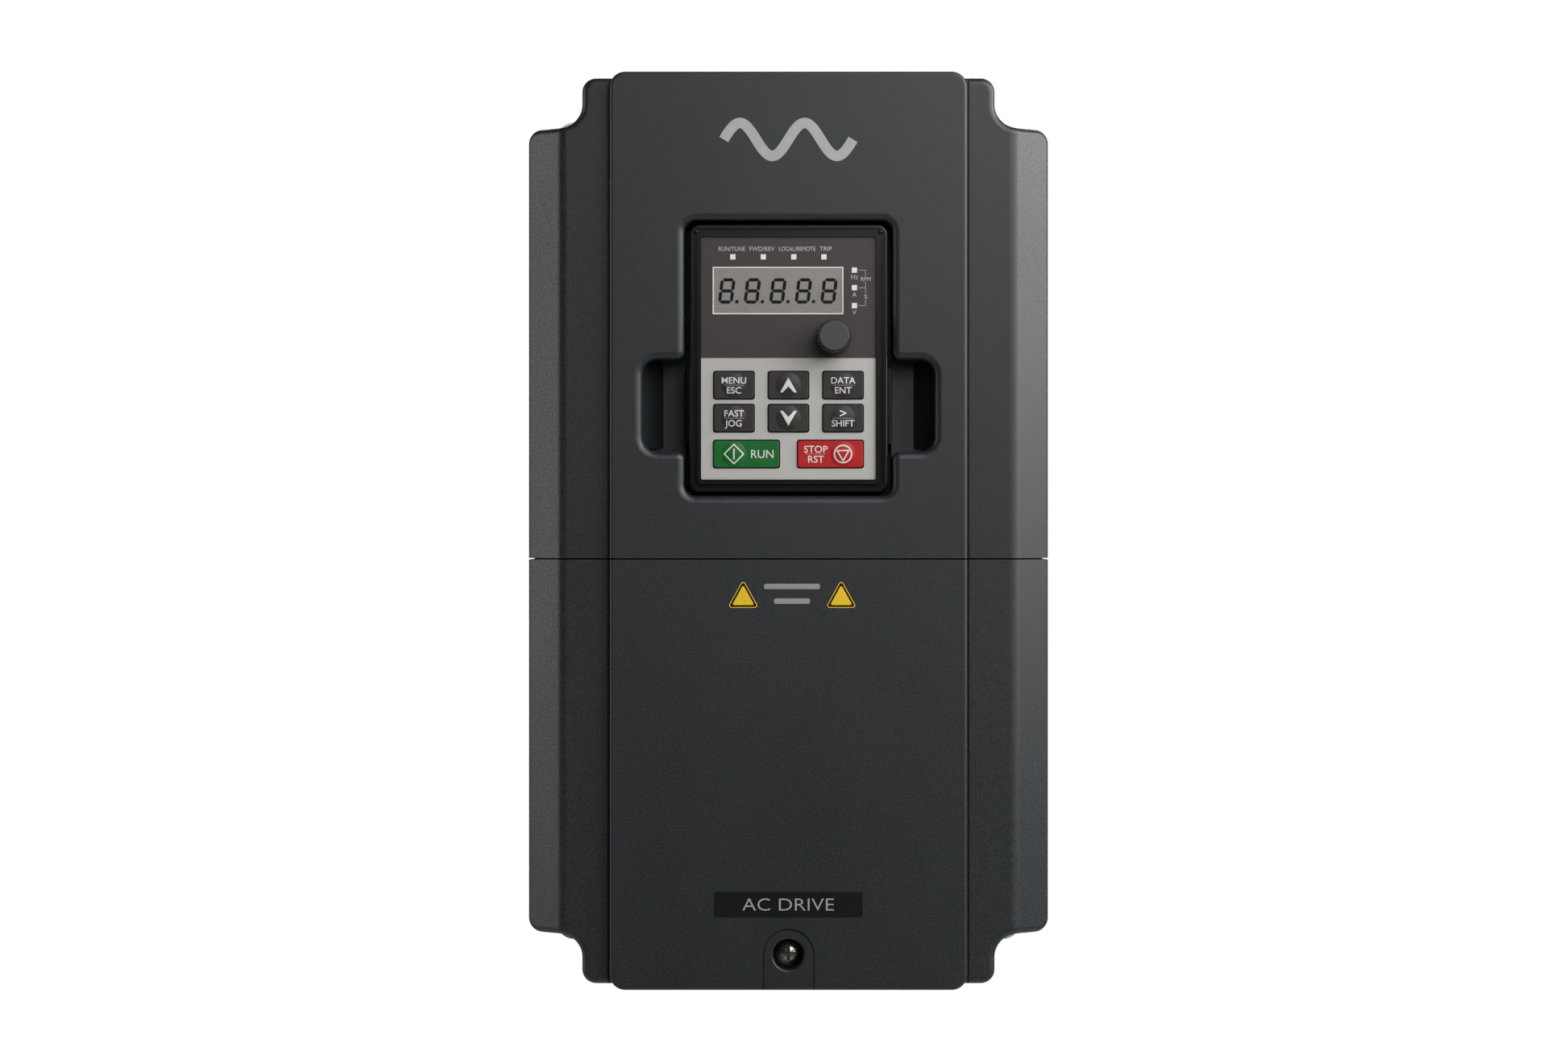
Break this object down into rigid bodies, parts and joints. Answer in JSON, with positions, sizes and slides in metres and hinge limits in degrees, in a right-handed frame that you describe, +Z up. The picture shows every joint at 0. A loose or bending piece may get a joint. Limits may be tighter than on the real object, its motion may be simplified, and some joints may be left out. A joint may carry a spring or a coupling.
{
  "type": "variable frequency drive",
  "caption": "Wall-mounted variable frequency drive with notched corners, a recessed pull-out keypad with knob and keys, a hinged lower cover and a lift-out fan tray.",
  "frame": {"origin": "centre of the four mounting holes on the wall side of the back plate", "axes": "+Z up, the front with the keypad faces -Y, +Y points into the wall, +X to the right seen from the front"},
  "size_m": [0.146, 0.167, 0.2561],
  "materials": {
    "cover_plastic": "fine moulded grain",
    "frame_plastic": "fine moulded grain",
    "housing_plastic": "fine moulded grain",
    "cast_fin_alloy": "extruded, lightly oxidised",
    "zinc_sheet": "zinc plated sheet",
    "screw_steel": "zinc plated",
    "screw_black": "black oxide",
    "spring_steel": "oiled spring steel",
    "rubber_black": "matt",
    "module_plastic": "moulded epoxy case",
    "board_green": "solder resist",
    "can_sleeve": "shrink sleeve",
    "relay_plastic": "moulded",
    "copper_winding": "enamelled copper",
    "terminal_plastic": "moulded",
    "terminal_green": "moulded",
    "ground_steel": "nickel plated",
    "tray_plastic": "moulded",
    "chip_plastic": "moulded epoxy",
    "ribbon_grey": "extruded vinyl",
    "fan_plastic": "moulded",
    "bezel_gloss": "polished",
    "overlay_film": "printed polyester film",
    "window_film": "tinted acrylic",
    "light_pipe": "frosted acrylic",
    "knob_plastic": "moulded",
    "shaft_alloy": "turned",
    "key_dark": "moulded elastomer",
    "key_green": "moulded elastomer",
    "key_red": "moulded elastomer",
    "label_black": "printed film",
    "print_grey": "screen printing ink",
    "print_white": "screen printing ink",
    "print_black": "screen printing ink",
    "print_yellow": "screen printing ink"
  },
  "bodies": {
    "drive": {"mounting_plate": "zinc_sheet", "plate_screws": "screw_steel", "rear_housing": "housing_plastic", "heat_sink": "cast_fin_alloy", "heat_sink_screws": "screw_steel", "mid_frame": "frame_plastic", "upper_cover": "cover_plastic", "upper_cover_screws": "screw_steel", "speed_nut": "spring_steel", "cable_entry_plate": "frame_plastic", "cable_grommets": "rubber_black", "inverter_module": "module_plastic", "rectifier_module": "module_plastic", "board_standoffs": "screw_steel", "power_board": "board_green", "board_screws": "screw_steel", "bus_capacitors": "can_sleeve", "relays": "relay_plastic", "filter_choke": "copper_winding", "current_sensors": "module_plastic", "power_terminal_block": "terminal_plastic", "power_terminal_screws": "screw_steel", "ground_plate": "ground_steel", "ground_screws": "screw_steel", "board_tray": "tray_plastic", "tray_screws": "screw_steel", "control_board": "board_green", "control_chips": "chip_plastic", "control_terminal_block": "terminal_green", "control_terminal_screws": "screw_steel", "ribbon_cable": "ribbon_grey", "keypad_socket": "module_plastic"},
    "lower_cover": {"lower_cover": "cover_plastic", "name_label": "label_black"},
    "cover_screw": {"cover_screw": "screw_black"},
    "screw_retainer": {"screw_retainer": "tray_plastic"},
    "keypad": {"keypad_bezel": "bezel_gloss", "keypad_overlay": "overlay_film", "keypad_rear_case": "bezel_gloss", "display_window": "window_film", "display_module": "module_plastic", "indicator_lights": "light_pipe", "keypad_board": "board_green", "keypad_plug": "module_plastic", "potentiometer": "module_plastic", "tact_switches": "chip_plastic"},
    "knob": {"knob": "knob_plastic", "knob_shaft": "shaft_alloy"},
    "fan_tray": {"fan_cover": "housing_plastic", "fan_frames": "fan_plastic"},
    "fan_rotor_left": {"fan_rotor_left": "fan_plastic"},
    "fan_rotor_right": {"fan_rotor_right": "fan_plastic"},
    "key_program": {"key_program": "key_dark"},
    "key_up": {"key_up": "key_dark"},
    "key_enter": {"key_enter": "key_dark"},
    "key_jog": {"key_jog": "key_dark"},
    "key_down": {"key_down": "key_dark"},
    "key_shift": {"key_shift": "key_dark"},
    "key_run": {"key_run": "key_green"},
    "key_stop": {"key_stop": "key_red"}
  },
  "joints": [
    {"name": "lower_cover_swing", "type": "hinge", "parent": "drive", "child": "lower_cover", "pos_m": [0, -0.159, -0.00785], "axis": [-1, 0, 0], "range_deg": [0, 35]},
    {"name": "cover_screw_back_out", "type": "slide", "parent": "lower_cover", "child": "screw_retainer", "axis": [0, -1, 0], "range_m": [0, 0.0042]},
    {"name": "cover_screw_turn", "type": "hinge", "parent": "screw_retainer", "child": "cover_screw", "pos_m": [0, -0.154, -0.1181], "axis": [0, -1, 0], "range_deg": [0, 2161]},
    {"name": "keypad_pull", "type": "slide", "parent": "drive", "child": "keypad", "axis": [0, -1, 0], "range_m": [0, 0.035]},
    {"name": "knob_turn", "type": "hinge", "parent": "keypad", "child": "knob", "pos_m": [0.0127, -0.159, 0.0541], "axis": [0, -1, 0], "range_deg": [-135, 135]},
    {"name": "fan_tray_lift", "type": "slide", "parent": "drive", "child": "fan_tray", "axis": [0, 0, 1], "range_m": [0, 0.04]},
    {"name": "fan_spin_left", "type": "hinge", "parent": "fan_tray", "child": "fan_rotor_left", "pos_m": [-0.0255, -0.0325, 0.11], "axis": [0, 0, 1], "continuous": true},
    {"name": "fan_spin_right", "type": "hinge", "parent": "fan_tray", "child": "fan_rotor_right", "pos_m": [0.0255, -0.0325, 0.11], "axis": [0, 0, 1], "continuous": true},
    {"name": "press_program", "type": "slide", "parent": "keypad", "child": "key_program", "axis": [0, 1, 0], "range_m": [0, 0.0005], "stiffness_N_per_m": 1000, "springref_m": -0.0005},
    {"name": "press_up", "type": "slide", "parent": "keypad", "child": "key_up", "axis": [0, 1, 0], "range_m": [0, 0.0005], "stiffness_N_per_m": 1000, "springref_m": -0.0005},
    {"name": "press_enter", "type": "slide", "parent": "keypad", "child": "key_enter", "axis": [0, 1, 0], "range_m": [0, 0.0005], "stiffness_N_per_m": 1000, "springref_m": -0.0005},
    {"name": "press_jog", "type": "slide", "parent": "keypad", "child": "key_jog", "axis": [0, 1, 0], "range_m": [0, 0.0005], "stiffness_N_per_m": 1000, "springref_m": -0.0005},
    {"name": "press_down", "type": "slide", "parent": "keypad", "child": "key_down", "axis": [0, 1, 0], "range_m": [0, 0.0005], "stiffness_N_per_m": 1000, "springref_m": -0.0005},
    {"name": "press_shift", "type": "slide", "parent": "keypad", "child": "key_shift", "axis": [0, 1, 0], "range_m": [0, 0.0005], "stiffness_N_per_m": 1000, "springref_m": -0.0005},
    {"name": "press_run", "type": "slide", "parent": "keypad", "child": "key_run", "axis": [0, 1, 0], "range_m": [0, 0.0005], "stiffness_N_per_m": 1000, "springref_m": -0.0005},
    {"name": "press_stop", "type": "slide", "parent": "keypad", "child": "key_stop", "axis": [0, 1, 0], "range_m": [0, 0.0005], "stiffness_N_per_m": 1000, "springref_m": -0.0005}
  ],
  "couplings": [
    {"joint": "cover_screw_turn", "follows": "cover_screw_back_out", "rad_per_m": 8976}
  ]
}
